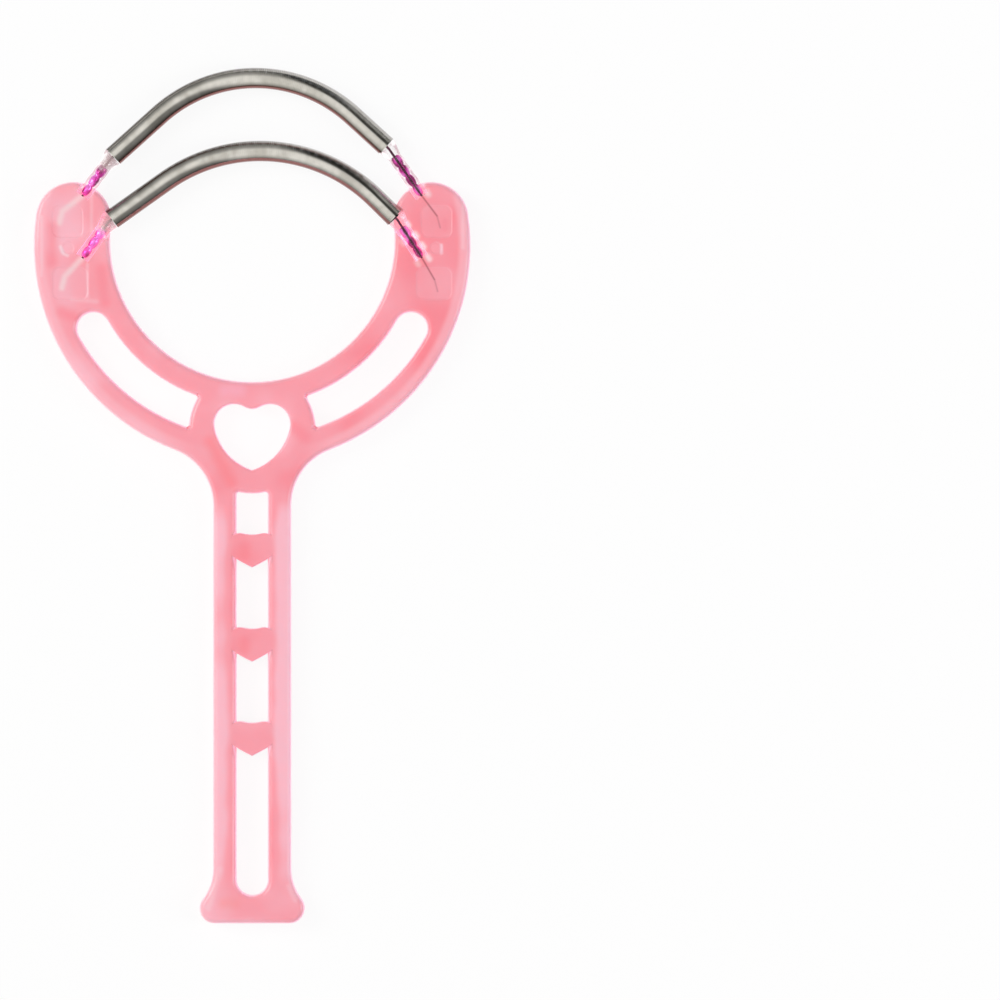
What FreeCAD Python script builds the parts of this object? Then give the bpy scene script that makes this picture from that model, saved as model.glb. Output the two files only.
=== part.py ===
import FreeCAD, Part
import math
import os

# Facial hair removal spring: a moulded fork whose two arms hold a pair of bowed, close-wound steel springs.
# The tool lies on its back. X runs across it, Y from the foot of the handle to the springs, Z out of its front.
# All sizes are in millimetres.

V = FreeCAD.Vector

# Moulding
plate_t = 5.0
edge_chamfer = 1.1
window_chamfer = 0.6
back_chamfer = 0.6
corner_r = 0.5

# Head ring, drawn about the centre of its bore, with a curved slot in each arm
bore_r = 28.5
ring_w = 15.2
rim_drop = 1.2
tip_rise = 4.0
slot_inner_wall = 4.65
slot_outer_wall = 4.0
slot_start_deg = 29.2

# Disc with the heart window, between ring and handle
disc_r = 12.7
disc_gap = 9.6
heart_lobe_rise = 1.2
heart_half = 7.6
heart_lobe_r = 4.0
heart_tip_drop = 9.2
heart_side_r = 11.3
heart_notch_r = 3.0

# Handle
neck_r = 12.0
handle_half = 7.8
rail_w = 4.65
handle_len = 93.1
foot_half = 10.5
foot_corner_r = 3.0
flare_r = 10.0
slot_floor = 5.6

# Heart-shaped crossbars between the rails
bar_count = 3
bar_pitch = 18.85
first_bar_gap = 17.6
bar_half = 5.0
bar_lobe_r = 2.6
bar_tip_drop = 4.3
bar_side_r = 30.0
bar_notch_r = 7.0
bar_back_gap = 0.5
bar_chamfer = 0.3

# Springs: outline of the close-wound coil, whose wall is one turn of wire thick
spring_z = 3.7
coil_od = 4.2
coil_wire = 0.45
coil_start = 0.5
core_wire_d = 0.5
core_wire_sides = 8
crown_steps = 7

# Each core wire enters an arm at a mouth, runs up a straight root to a kink, and becomes a straight leg of the bow
mouth_inset = 5.5
upper_mouth_y = 8.7
mouth_pitch = 12.4
bows = {
    "upper": {
        "mouth_y": upper_mouth_y,
        "crown_r": 28.8,
        "recess": {"outset": 2.9, "width": 6.6},
        "left": {"root_len": 9.5, "root_deg": 52.6, "leg_deg": 42.0, "tail_deg": 38.0, "beads": 3},
        "right": {"root_len": 11.6, "root_deg": 55.0, "leg_deg": 42.4, "tail_deg": 53.0, "beads": 4},
    },
    "lower": {
        "mouth_y": upper_mouth_y - mouth_pitch,
        "crown_r": 32.8,
        "recess": {"outset": 2.4, "width": 7.6},
        "left": {"root_len": 9.2, "root_deg": 53.7, "leg_deg": 35.4, "tail_deg": 47.0, "beads": 3},
        "right": {"root_len": 9.1, "root_deg": 57.3, "leg_deg": 44.6, "tail_deg": 60.0, "beads": 3},
    },
}

# Hooked tail of the core wire, around which the arm is moulded
tail_len = 5.0
hook_len = 2.4
hook_deg = 75.0
wire_fit = 0.02

# Clear sleeve, from the coil's end to the mouth
sleeve_neck_len = 2.2
sleeve_top_r = 1.95
sleeve_wall = 0.2
sleeve_bore_gap = 0.1

# Ferrule on the wire inside the sleeve: split sheet, pinched into a row of beads that get smaller to the mouth
bead_pitch = 2.35
bead_steps = 3
ferrule_start = 0.3
ferrule_r = 1.05
ferrule_mouth_r = 0.62
ferrule_pinch = 0.25
ferrule_seam_w = 0.4
bead_sides = 8

# Open grooves in the arms, around sleeve and coil
groove_gap = 0.1
coil_groove_gap = 0.15

# Shallow recesses in the front of each arm, below each mouth, and a round mark between them
recess_depth = 0.2
recess_drop = 5.1
recess_height = 7.0
recess_corner = 1.6
mark_outset = 2.8
mark_drop = 10.4
mark_r = 1.5

# Places that follow from the sizes above
rim_r = bore_r + ring_w
slot_inner_r = bore_r + slot_inner_wall
slot_outer_r = rim_r - slot_outer_wall
mouth_half = bore_r + mouth_inset
sleeve_bore_r = ferrule_r + sleeve_bore_gap
sleeve_r = sleeve_bore_r + sleeve_wall
coil_r = coil_od / 2
core_r = core_wire_d / 2
rail_gap_half = handle_half - rail_w
foot_y = -(rim_r + handle_len)
disc_y = -(bore_r + disc_gap)
first_bar_y = -(rim_r + first_bar_gap)
rim_centre = V(0, -rim_drop, 0)
ring_centre = V(0, 0, 0)
tip_r = ((rim_r - bore_r) - (2 * tip_rise * rim_drop + rim_drop**2) / (rim_r + bore_r)) / 2
tip_centre = V(math.sqrt((bore_r + tip_r) ** 2 - tip_rise**2), tip_rise, 0)
above = 1.0


def point_at(centre, radius, degrees):
    """Point on a circle, measured anticlockwise from +X."""
    a = math.radians(degrees)
    return centre + V(radius * math.cos(a), radius * math.sin(a), 0)


def towards(start, goal, distance):
    """Point at that distance from start, in the direction of goal."""
    return start + (goal - start).normalize() * distance


def line(start, end):
    return Part.LineSegment(start, end).toShape()


def arc(centre, start, end, turn):
    """Arc about centre, anticlockwise where turn is 1 and clockwise where it is -1."""
    first = math.atan2(start.y - centre.y, start.x - centre.x)
    last = math.atan2(end.y - centre.y, end.x - centre.x)
    sweep = turn * ((last - first) * turn % (2 * math.pi))
    middle = point_at(centre, start.distanceToPoint(centre), math.degrees(first + sweep / 2))
    return Part.Arc(start, middle, end).toShape()


def mirrored(shape):
    """The same shape on the other side of the tool's middle plane."""
    return shape.mirror(V(0, 0, 0), V(1, 0, 0))


def closed_face(edges):
    return Part.Face(Part.Wire(Part.__sortEdges__(edges)))


def prism(face, bottom, top):
    """Solid between two heights over a flat outline."""
    solid = face.extrude(V(0, 0, top - bottom))
    solid.translate(V(0, 0, bottom))
    return solid


def edges_at(solid, height):
    return [e for e in solid.Edges if all(abs(v.Z - height) < 1e-6 for v in e.Vertexes)]


def upright_edges_near(solid, places):
    """Upright edges of a prism that stand at one of the places."""
    found = []
    for edge in solid.Edges:
        ends = [v.Point for v in edge.Vertexes]
        if len(ends) == 2 and abs(ends[0].z - ends[1].z) > plate_t / 2:
            if any(math.hypot(ends[0].x - p.x, ends[0].y - p.y) < 1e-4 for p in places):
                found.append(edge)
    return found


def heart(half, lobe_r, tip_drop, side_r, notch_r):
    """Heart outline about the middle of its lobes, made of arcs, with its point down. Returns face and point."""
    lobe = V(half - lobe_r, 0, 0)
    point = V(0, -tip_drop, 0)
    span = lobe.distanceToPoint(point)
    reach = side_r - lobe_r
    along = (side_r**2 - reach**2 + span**2) / (2 * span)
    offset = math.sqrt(side_r**2 - along**2)
    axis = (lobe - point).normalize()
    side_centre = point + axis * along + V(-axis.y, axis.x, 0) * offset
    notch = V(0, math.sqrt((lobe_r + notch_r) ** 2 - lobe.x**2), 0)
    side_end = towards(side_centre, lobe, side_r)
    notch_end = towards(lobe, notch, lobe_r)
    half_edges = [
        arc(side_centre, point, side_end, 1),
        arc(lobe, side_end, notch_end, 1),
        arc(notch, notch_end, notch + V(0, -notch_r, 0), -1),
    ]
    return closed_face(half_edges + [mirrored(e) for e in half_edges]), point


# Frame


def frame_outline():
    """Flat outline of the whole moulding, without its windows."""
    tip_in = towards(ring_centre, tip_centre, bore_r)
    tip_out = towards(rim_centre, tip_centre, rim_r)
    neck_x = handle_half + neck_r
    neck = V(neck_x, -rim_drop - math.sqrt((rim_r + neck_r) ** 2 - neck_x**2), 0)
    neck_top = towards(rim_centre, neck, rim_r)
    corner = V(foot_half - foot_corner_r, foot_y + foot_corner_r, 0)
    flare_x = handle_half + flare_r
    flare_rise = math.sqrt((flare_r + foot_corner_r) ** 2 - (flare_x - corner.x) ** 2)
    flare = V(flare_x, corner.y + flare_rise, 0)
    flare_end = towards(corner, flare, foot_corner_r)
    half_edges = [
        arc(ring_centre, V(0, -bore_r, 0), tip_in, 1),
        arc(tip_centre, tip_in, tip_out, -1),
        arc(rim_centre, tip_out, neck_top, -1),
        arc(neck, neck_top, V(handle_half, neck.y, 0), 1),
        line(V(handle_half, neck.y, 0), V(handle_half, flare.y, 0)),
        arc(flare, V(handle_half, flare.y, 0), flare_end, 1),
        arc(corner, flare_end, V(corner.x, foot_y, 0), -1),
        line(V(corner.x, foot_y, 0), V(0, foot_y, 0)),
    ]
    return closed_face(half_edges + [mirrored(e) for e in half_edges])


def where_disc_meets(radius):
    """Point with positive X where the heart's disc crosses a circle about the ring's centre."""
    y = (radius**2 + disc_y**2 - disc_r**2) / (2 * disc_y)
    return V(math.sqrt(radius**2 - y**2), y, 0)


def window(face, corners):
    """Cutting tool for a hole through the plate, with small radii at the named corners."""
    tool = prism(face, -above, plate_t + above)
    return tool.makeFillet(corner_r, upright_edges_near(tool, corners))


def side_slot():
    """Long curved hole in the right arm of the ring, from below the springs to the heart's disc."""
    inner_foot = where_disc_meets(slot_inner_r)
    outer_foot = where_disc_meets(slot_outer_r)
    cap = point_at(ring_centre, (slot_inner_r + slot_outer_r) / 2, -slot_start_deg)
    inner_top = point_at(ring_centre, slot_inner_r, -slot_start_deg)
    outer_top = point_at(ring_centre, slot_outer_r, -slot_start_deg)
    face = closed_face(
        [
            arc(ring_centre, inner_foot, inner_top, 1),
            arc(cap, inner_top, outer_top, -1),
            arc(ring_centre, outer_top, outer_foot, -1),
            arc(V(0, disc_y, 0), outer_foot, inner_foot, 1),
        ]
    )
    return window(face, [inner_foot, outer_foot])


def handle_slot():
    """Hole between the rails, from the heart's disc to the foot, with a round lower end."""
    top = V(rail_gap_half, disc_y - math.sqrt(disc_r**2 - rail_gap_half**2), 0)
    end_centre = V(0, foot_y + slot_floor + rail_gap_half, 0)
    end_right = end_centre + V(rail_gap_half, 0, 0)
    top_left = V(-top.x, top.y, 0)
    end_left = V(-end_right.x, end_right.y, 0)
    face = closed_face(
        [
            arc(V(0, disc_y, 0), top_left, top, 1),
            line(top, end_right),
            arc(end_centre, end_right, end_left, -1),
            line(end_left, top_left),
        ]
    )
    return window(face, [top, top_left])


def heart_window():
    face, point = heart(heart_half, heart_lobe_r, heart_tip_drop, heart_side_r, heart_notch_r)
    place = V(0, disc_y + heart_lobe_rise, 0)
    face.translate(place)
    return window(face, [point + place])


def heart_bar(index):
    """Heart-shaped crossbar, flush with the front and a little short of the back."""
    face, _ = heart(bar_half, bar_lobe_r, bar_tip_drop, bar_side_r, bar_notch_r)
    bar = prism(face, bar_back_gap, plate_t)
    bar = bar.makeChamfer(bar_chamfer, edges_at(bar, plate_t))
    bar.translate(V(0, first_bar_y - index * bar_pitch, 0))
    return bar


def build_frame():
    plate = prism(frame_outline(), 0, plate_t)
    right_slot = side_slot()
    plate = plate.cut([right_slot, mirrored(right_slot), handle_slot()])
    plate = plate.makeChamfer(edge_chamfer, edges_at(plate, plate_t))
    plate = plate.makeChamfer(back_chamfer, edges_at(plate, 0))
    plate = plate.cut(heart_window())
    rim = [e for e in edges_at(plate, plate_t) if in_heart(e)]
    plate = plate.makeChamfer(window_chamfer, rim)
    plate = plate.fuse([heart_bar(i) for i in range(bar_count)])
    plate = plate.cut(arm_details())
    return plate.removeSplitter().Solids[0]


def in_heart(edge):
    """True for an edge of the heart window, which lies well inside the disc."""
    return edge.CenterOfMass.distanceToPoint(V(0, disc_y, edge.CenterOfMass.z)) < heart_half + heart_lobe_rise


# Springs and what holds them


def heading(degrees):
    a = math.radians(degrees)
    return V(math.cos(a), math.sin(a), 0)


def corner_points(bow, side):
    """Mouth, kink and coil's start of a core wire, drawn at the left arm for either side."""
    anchor = bow[side]
    mouth = V(-mouth_half, bow["mouth_y"], spring_z)
    kink = mouth + heading(anchor["root_deg"]) * anchor["root_len"]
    return mouth, kink, kink + heading(anchor["leg_deg"]) * coil_start


def leg_ends(bow):
    """Kinks and crown centre of a bow. The crown's arc touches both legs, which end on it."""
    left_deg = bow["left"]["leg_deg"]
    right_deg = bow["right"]["leg_deg"]
    left_kink = corner_points(bow, "left")[1]
    right_kink = flipped(corner_points(bow, "right")[1])
    left_normal = heading(left_deg - 90) * bow["crown_r"]
    right_normal = heading(-right_deg - 90) * bow["crown_r"]
    up = heading(left_deg)
    down = heading(-right_deg)
    gap = (right_kink + right_normal) - (left_kink + left_normal)
    left_leg = (gap.x * down.y - gap.y * down.x) / (up.x * down.y - up.y * down.x)
    return left_kink, right_kink, left_kink + left_normal + up * left_leg


def bow_points(bow):
    """Corners of a bow from kink to kink. The crown is drawn as short straight runs, which keeps it light."""
    left_kink, right_kink, centre = leg_ends(bow)
    first = bow["left"]["leg_deg"] + 90
    step = (bow["left"]["leg_deg"] + bow["right"]["leg_deg"]) / crown_steps
    corner_r = bow["crown_r"] / math.cos(math.radians(step / 2))
    crown = [point_at(centre, corner_r, first - step * (i + 0.5)) for i in range(crown_steps)]
    return [left_kink] + crown + [right_kink]


def tail_points(bow, side):
    """Corners of the wire's tail, from its hooked end to the mouth, drawn in the left arm for either side."""
    mouth = corner_points(bow, side)[0]
    bend = mouth - heading(bow[side]["tail_deg"]) * tail_len
    return [bend - heading(hook_deg) * hook_len, bend, mouth]


def flipped(point):
    return V(-point.x, point.y, point.z)


def swept(profile, points):
    """Rod along straight runs, mitred at its corners. The profile lies across the first run."""
    return Part.makePolygon(points).makePipeShell([profile], True, False, 1)


def round_rod(points, radius):
    return swept(Part.Wire(Part.makeCircle(radius, points[0], points[1] - points[0])), points)


def regular_corners(sides, radius):
    """Corners of a regular outline about the origin, in the XY plane."""
    turns = [2 * math.pi * (i + 0.5) / sides for i in range(sides)]
    return [V(radius * math.cos(a), radius * math.sin(a), 0) for a in turns]


def wire_rod(points, radius):
    """Thin wire, drawn with a few flat sides, which keeps it light."""
    corners = regular_corners(core_wire_sides, radius)
    profile = Part.makePolygon(corners + corners[:1])
    profile.Placement = standing(points[0], points[1])
    return swept(profile, points)


def standing(foot, head):
    """Placement that stands a shape drawn along +Z on foot, pointing at head, with its X axis level."""
    along = (head - foot).normalize()
    level = along.cross(V(0, 0, 1))
    return FreeCAD.Placement(foot, FreeCAD.Rotation(level, V(0, 0, 1), along, "ZXY"))


def groove(start, direction, length, radius, end_radius):
    """Cutting tool for a round-bottomed groove that is open to the front and may widen to its end."""
    if radius == end_radius:
        bottom = Part.makeCylinder(radius, length, start, direction)
    else:
        bottom = Part.makeCone(radius, end_radius, length, start, direction)
    side = V(-direction.y, direction.x, 0)
    end = start + direction * length
    corners = [start + side * radius, start - side * radius, end - side * end_radius, end + side * end_radius]
    opening = Part.Face(Part.makePolygon(corners + corners[:1]))
    return bottom.fuse(opening.extrude(V(0, 0, plate_t)))


def anchor_grooves(bow, side):
    """Grooves for sleeve and coil's end, and the moulded-in hole for the wire's tail, drawn in the left arm."""
    mouth, kink, coil_end = corner_points(bow, side)
    along = heading(bow[side]["root_deg"])
    neck_start = kink - along * sleeve_neck_len
    neck_len = sleeve_neck_len + 2 * coil_start
    tube_r = sleeve_r + groove_gap
    coil_groove_r = coil_r + coil_groove_gap
    return [
        groove(mouth, along, bow[side]["root_len"] - sleeve_neck_len, tube_r, tube_r),
        groove(neck_start, along, neck_len, tube_r, sleeve_top_r + groove_gap),
        groove(coil_end, heading(bow[side]["leg_deg"]), coil_od, coil_groove_r, coil_groove_r),
        wire_rod(tail_points(bow, side) + [kink], core_r + wire_fit),
    ]


def recess(bow):
    """Shallow recess with rounded corners in the front face of the right arm, below the bow's mouth."""
    width = bow["recess"]["width"]
    left = mouth_half + bow["recess"]["outset"] - width / 2
    low = bow["mouth_y"] - recess_drop - recess_height / 2
    tool = Part.makeBox(width, recess_height, above, V(left, low, plate_t - recess_depth))
    upright = [e for e in tool.Edges if abs(e.tangentAt(e.FirstParameter).z) > 0.5]
    return tool.makeFillet(recess_corner, upright)


def arm_details():
    """All cuts in the two arms. The recesses and marks are alike on both, and the grooves follow the bows."""
    mark_place = V(mouth_half + mark_outset, upper_mouth_y - mark_drop, plate_t - recess_depth)
    marks = [recess(bow) for bow in bows.values()] + [Part.makeCylinder(mark_r, above, mark_place)]
    cuts = marks + [mirrored(tool) for tool in marks]
    for bow in bows.values():
        cuts += anchor_grooves(bow, "left")
        cuts += [mirrored(tool) for tool in anchor_grooves(bow, "right")]
    return cuts


def build_core_wire(bow):
    right_tail = [flipped(p) for p in reversed(tail_points(bow, "right"))]
    return wire_rod(tail_points(bow, "left") + bow_points(bow) + right_tail, core_r)


def build_spring(bow):
    left_start = corner_points(bow, "left")[2]
    right_start = flipped(corner_points(bow, "right")[2])
    points = [left_start] + bow_points(bow)[1:-1] + [right_start]
    return round_rod(points, coil_r).cut(round_rod(points, coil_r - coil_wire))


def flat_sided(rings):
    """Closed shape with flat faces between rings of corners, from the outline at its foot to that at its head."""
    faces = []
    for low, high in zip(rings, rings[1:]):
        for i in range(len(low)):
            quad = [low[i - 1], low[i], high[i], high[i - 1]]
            faces.append(Part.Face(Part.makePolygon(quad + quad[:1])))
    faces += [Part.Face(Part.makePolygon(ring + ring[:1])) for ring in (rings[0], rings[-1])]
    return Part.Solid(Part.Shell(faces))


def bead_rings(beads):
    """Rings of corners of a row of beads along +Z from the mouth, with a waist at each end of a bead."""
    rings = []
    count = bead_steps * beads
    for i in range(count + 1):
        bead_r = ferrule_mouth_r + (ferrule_r - ferrule_mouth_r) * i / count
        swell = math.sin(math.pi * (i % bead_steps) / bead_steps)
        corners = regular_corners(bead_sides, bead_r - ferrule_pinch * (1 - swell))
        rings.append([p + V(0, 0, i * bead_pitch / bead_steps) for p in corners])
    return rings


def build_ferrule(bow, side):
    """Ferrule on the root of the wire, drawn beside the left arm. Its seam is in front on the right side only."""
    mouth, kink, _ = corner_points(bow, side)
    beads = bow[side]["beads"]
    length = beads * bead_pitch + 2 * above
    bore = regular_corners(core_wire_sides, core_r + wire_fit)
    hole = flat_sided([[p + V(0, 0, z) for p in bore] for z in (-above, length - above)])
    seam_side = 0 if side == "right" else -coil_r
    seam = Part.makeBox(ferrule_seam_w, coil_r, length, V(-ferrule_seam_w / 2, seam_side, -above))
    ferrule = flat_sided(bead_rings(beads)).cut([hole, seam])
    along = (kink - mouth).normalize()
    ferrule.Placement = standing(mouth + along * ferrule_start, kink)
    return ferrule


def build_sleeve(bow, side):
    """Clear sleeve from the mouth to the coil's end, drawn at the left arm for either side."""
    mouth, kink, coil_end = corner_points(bow, side)
    length = bow[side]["root_len"] + 2 * coil_start
    neck_start = bow[side]["root_len"] - sleeve_neck_len
    corners = [
        V(sleeve_bore_r, 0, 0),
        V(sleeve_r, 0, 0),
        V(sleeve_r, 0, neck_start),
        V(sleeve_top_r, 0, length),
        V(sleeve_bore_r, 0, length),
    ]
    profile = Part.Face(Part.makePolygon(corners + corners[:1]))
    sleeve = profile.revolve(V(0, 0, 0), V(0, 0, 1), 360)
    sleeve.Placement = standing(mouth, kink)
    beyond = Part.makeCylinder(2 * coil_od, coil_od, coil_end, heading(bow[side]["leg_deg"]))
    return sleeve.cut(beyond)


parts = {"frame": build_frame()}
for level, bow in bows.items():
    parts[f"{level}_spring"] = build_spring(bow)
    parts[f"{level}_core_wire"] = build_core_wire(bow)
    parts[f"{level}_left_ferrule"] = build_ferrule(bow, "left")
    parts[f"{level}_right_ferrule"] = mirrored(build_ferrule(bow, "right"))
    parts[f"{level}_left_sleeve"] = build_sleeve(bow, "left")
    parts[f"{level}_right_sleeve"] = mirrored(build_sleeve(bow, "right"))

# The origin goes to the middle of the whole tool, in the plane of its back
top_y = parts["upper_spring"].BoundBox.YMax
middle = V(0, (top_y + foot_y) / 2, 0)

os.makedirs("parts", exist_ok=True)
for name, shape in parts.items():
    solid = shape.Solids[0]
    solid.translate(-middle)
    solid.exportStep(f"parts/{name}.step")
    print(name, solid.isValid(), len(shape.Solids), round(solid.Volume, 1), len(solid.Faces))
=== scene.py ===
import math

import bmesh
import bpy
from mathutils import Color, Matrix, Vector


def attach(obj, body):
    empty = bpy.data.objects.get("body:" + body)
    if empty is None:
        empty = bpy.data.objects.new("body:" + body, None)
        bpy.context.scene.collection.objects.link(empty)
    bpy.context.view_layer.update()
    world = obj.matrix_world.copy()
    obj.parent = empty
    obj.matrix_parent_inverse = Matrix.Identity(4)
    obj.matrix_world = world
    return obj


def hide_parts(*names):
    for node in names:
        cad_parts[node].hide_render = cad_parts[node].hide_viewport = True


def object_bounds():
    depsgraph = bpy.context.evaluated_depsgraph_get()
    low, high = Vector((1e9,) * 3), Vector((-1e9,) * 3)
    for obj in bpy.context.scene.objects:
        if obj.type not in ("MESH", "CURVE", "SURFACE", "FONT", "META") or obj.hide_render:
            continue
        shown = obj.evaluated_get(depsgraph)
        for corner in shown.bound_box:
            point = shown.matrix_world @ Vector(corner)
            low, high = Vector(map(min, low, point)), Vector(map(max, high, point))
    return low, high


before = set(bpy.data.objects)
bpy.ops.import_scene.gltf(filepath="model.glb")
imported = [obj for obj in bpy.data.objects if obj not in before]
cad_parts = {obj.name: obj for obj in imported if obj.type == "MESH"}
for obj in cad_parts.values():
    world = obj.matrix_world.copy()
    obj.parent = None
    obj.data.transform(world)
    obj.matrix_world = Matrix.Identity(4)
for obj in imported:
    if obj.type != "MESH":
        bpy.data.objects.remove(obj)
cad_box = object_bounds()

MM = 0.001

# Sizes of the tool in millimetres, as in the part's source but for the ferrules' mouth and pinch
plate_t = 5.0
edge_chamfer = 1.1
window_chamfer = 0.6
back_chamfer = 0.6
bar_chamfer = 0.3
bar_half = 5.0
disc_drop = 38.1
rim_drop = 1.2
heart_reach = 9.0
recess_depth = 0.2
recess_drop = 5.1
recess_height = 7.0
mark_outset = 2.8
mark_drop = 10.4
mark_r = 1.5
coil_od = 4.2
coil_start = 0.5
spring_z = 3.7
core_wire_d = 0.5
mouth_half = 34.0
upper_mouth_y = 8.7
mouth_pitch = 12.4
tail_len = 5.0
hook_len = 2.4
hook_deg = 75.0
bead_pitch = 2.35
ferrule_start = 0.3
ferrule_r = 1.05
ferrule_mouth_r = 0.78
ferrule_pinch = 0.32
ferrule_wall = 0.2
seam_deg = 32.0
sleeve_neck_len = 2.2
sleeve_top_r = 1.95
sleeve_r = 1.35
sleeve_bulge = 0.1
sleeve_wall = 0.2
foot_drop = 136.8
sides = ("left", "right")
bows = {
    "upper": {
        "mouth_y": upper_mouth_y,
        "crown_r": 28.8,
        "recess": {"outset": 2.9, "width": 6.6},
        "left": {"root_len": 9.5, "root_deg": 52.6, "leg_deg": 42.0, "tail_deg": 38.0, "beads": 3},
        "right": {"root_len": 11.6, "root_deg": 55.0, "leg_deg": 42.4, "tail_deg": 53.0, "beads": 4},
    },
    "lower": {
        "mouth_y": upper_mouth_y - mouth_pitch,
        "crown_r": 32.8,
        "recess": {"outset": 2.4, "width": 7.6},
        "left": {"root_len": 9.2, "root_deg": 53.7, "leg_deg": 35.4, "tail_deg": 47.0, "beads": 3},
        "right": {"root_len": 9.1, "root_deg": 57.3, "leg_deg": 44.6, "tail_deg": 60.0, "beads": 3},
    },
}

# Wire of the coils in millimetres, and how far the shading of its turns leans to that of a smooth tube
turn_pitch = 0.36
turn_wire_d = 0.345
points_per_turn = 24
wire_sides = 8
turn_blend = 0.97

# How finely the core wires and the turned pieces are drawn
core_sides = 12
core_steps = 60
spin_step_deg = 10
bead_steps = 8
swell_steps = 6

# Levels at which the rounded edges are sliced, and the millimetres within which points are merged
roll_steps = 10
back_steps = 4
merge_gap = 0.002

# Share of their width that the floors of the recesses and of the round marks keep
recess_floor = 0.86
mark_floor = 0.6

# Half width in millimetres, strength, strength of the hook and colour on screen of the lines over the
# buried wire tails: a painted highlight along the left ones, the dark wire seen through the plastic on the
# right
tail_looks = {
    "left": (1.1, 0.75, 0.75, (255, 216, 218)),
    "right": (0.32, 0.6, 0.3, (140, 34, 48)),
}

# Marks in the plastic, in millimetres from the head's centre: start, end, half width, strength and colour
# on screen.
# The pale and bright marks, but for the lilac one on the ring, are painted highlights on rounded edges,
# beside the recesses, on the round marks and on the foot's corners; the deep marks are darker patches of
# the plastic
pale_highlight = (255, 206, 214)
deep_tone = (252, 138, 150)
bright_highlight = (255, 232, 236)
tone_and_highlight_marks = [
    ((-42.1, 4.6), (-42.1, -7.2), 0.6, 0.5, pale_highlight),
    ((-32.1, 8.8), (-32.1, 1.8), 0.6, 0.4, pale_highlight),
    ((-32.9, -5.0), (-32.9, -11.4), 0.6, 0.45, pale_highlight),
    ((-36.0, -12.0), (-31.0, -12.4), 0.8, 0.35, pale_highlight),
    ((-38.3, -1.5), (-37.9, -2.5), 0.7, 0.55, bright_highlight),
    ((-37.6, -2.9), (-36.9, -3.2), 0.6, 0.45, bright_highlight),
    ((-39.9, 2.5), (-39.9, -4.5), 1.9, 0.5, deep_tone),
    ((-30.2, -6.0), (-29.4, -12.5), 2.0, 0.55, deep_tone),
    ((-38.0, -14.5), (-34.5, -16.0), 2.0, 0.55, deep_tone),
    ((37.9, -1.1), (37.9, -2.7), 0.6, 0.6, (255, 216, 228)),
    ((42.2, 9.8), (42.2, -1.6), 0.7, 0.45, pale_highlight),
    ((38.6, 3.6), (38.6, 2.2), 1.2, 0.4, deep_tone),
    ((-5.5, -30.2), (-2.5, -30.2), 2.2, 0.5, (252, 182, 202)),
    ((-8.4, -40.5), (-4.2, -48.5), 2.2, 0.6, (255, 134, 140)),
    ((8.4, -37.5), (10.6, -39.5), 2.2, 0.55, deep_tone),
    ((-1.5, -61.5), (-1.5, -63.0), 2.0, 0.5, (252, 134, 142)),
    ((-1.5, -80.5), (-1.5, -82.0), 2.0, 0.5, (252, 134, 142)),
    ((-6.4, -126.0), (-8.7, -133.6), 1.2, 0.5, pale_highlight),
    ((-5.6, -132.8), (-3.4, -132.8), 2.0, 0.4, (252, 150, 150)),
    ((7.4, -129.4), (8.6, -132.0), 1.0, 0.4, pale_highlight),
]

# Painted glints beside the right sleeves, in millimetres from the head's centre: place, radius and strength
painted_glint_colour = (255, 242, 244)
painted_glint_stretch = Vector((-0.35, 0.5, 0))
painted_glints = [
    ((31.4, 2.8), 0.95, 0.7),
    ((32.9, 0.6), 1.05, 0.75),
    ((34.3, -1.5), 1.05, 0.75),
    ((35.5, -3.9), 1.05, 0.65),
    ((30.3, -0.9), 1.0, 0.25),
    ((33.3, -5.0), 1.0, 0.35),
    ((34.1, 11.2), 0.9, 0.6),
    ((35.3, 9.0), 1.1, 0.5),
]

# The head's centre lies this far above the middle of the tool
head_y = cad_box[0][1] / MM + foot_drop
disc_y = head_y - disc_drop


def screen_colour(red, green, blue):
    """Linear colour of a shade given as it looks on screen, from 0 to 255."""
    shade = Color((red / 255, green / 255, blue / 255)).from_srgb_to_scene_linear()
    return (*shade, 1.0)


# Shader helpers


def new_material(name):
    material = bpy.data.materials.new(name)
    material.use_nodes = True
    nodes = material.node_tree.nodes
    return material, nodes, material.node_tree.links, nodes["Principled BSDF"]


def ramp_node(nodes, stops):
    """Soft colour ramp with stops of place and linear colour."""
    node = nodes.new("ShaderNodeValToRGB")
    node.color_ramp.interpolation = "EASE"
    elements = node.color_ramp.elements
    while len(elements) < len(stops):
        elements.new(0.5)
    for element, (place, colour) in zip(elements, stops):
        element.position = place
        element.color = colour
    return node


def ramp(nodes, links, value, stops):
    """Colour picked by a value from stops of place and screen colour."""
    node = ramp_node(nodes, [(place, screen_colour(*shade)) for place, shade in stops])
    links.new(value, node.inputs["Fac"])
    return node.outputs["Color"]


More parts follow.
